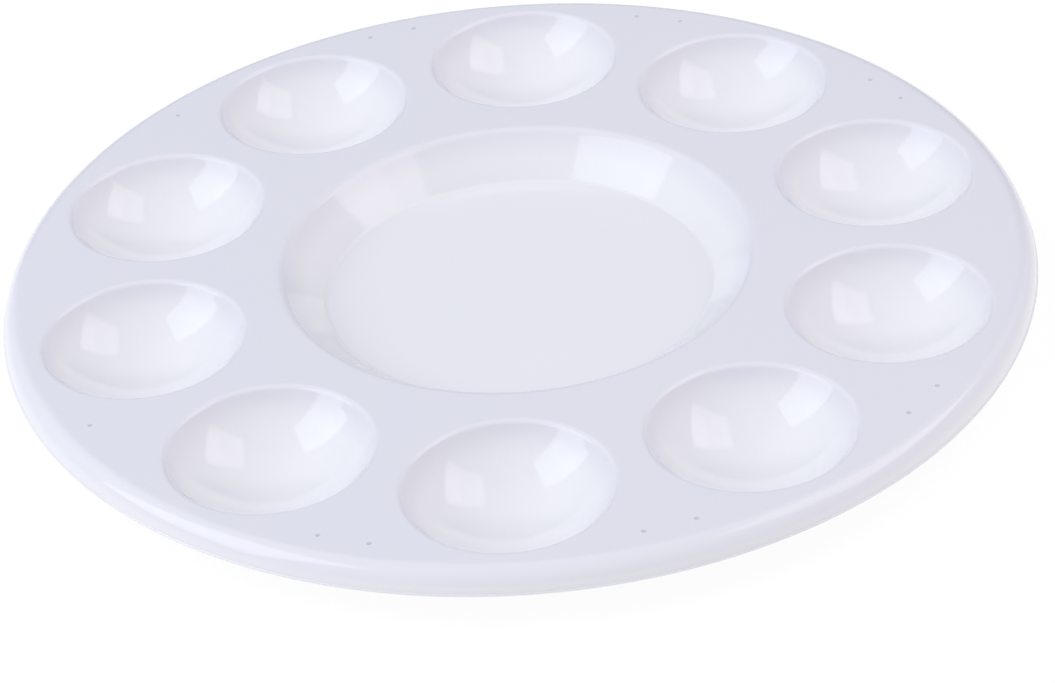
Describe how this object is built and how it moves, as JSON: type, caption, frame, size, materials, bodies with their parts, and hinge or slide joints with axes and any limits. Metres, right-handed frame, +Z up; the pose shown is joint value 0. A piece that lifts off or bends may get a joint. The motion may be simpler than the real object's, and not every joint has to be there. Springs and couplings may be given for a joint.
{
  "type": "mixing palette",
  "caption": "Round one-piece plastic paint palette: a ring of bowl-shaped paint wells round a shallow flat-floored mixing dish, with a rounded, turned-down rim.",
  "frame": {"origin": "on the palette's axis, on the surface that the wells' feet stand on", "axes": "+Z up out of the wells; +Y from the axis towards the first well"},
  "size_m": [0.17, 0.17, 0.0102],
  "materials": {
    "white_plastic": "gloss"
  },
  "bodies": {
    "root": {"palette": "white_plastic"}
  },
  "joints": []
}
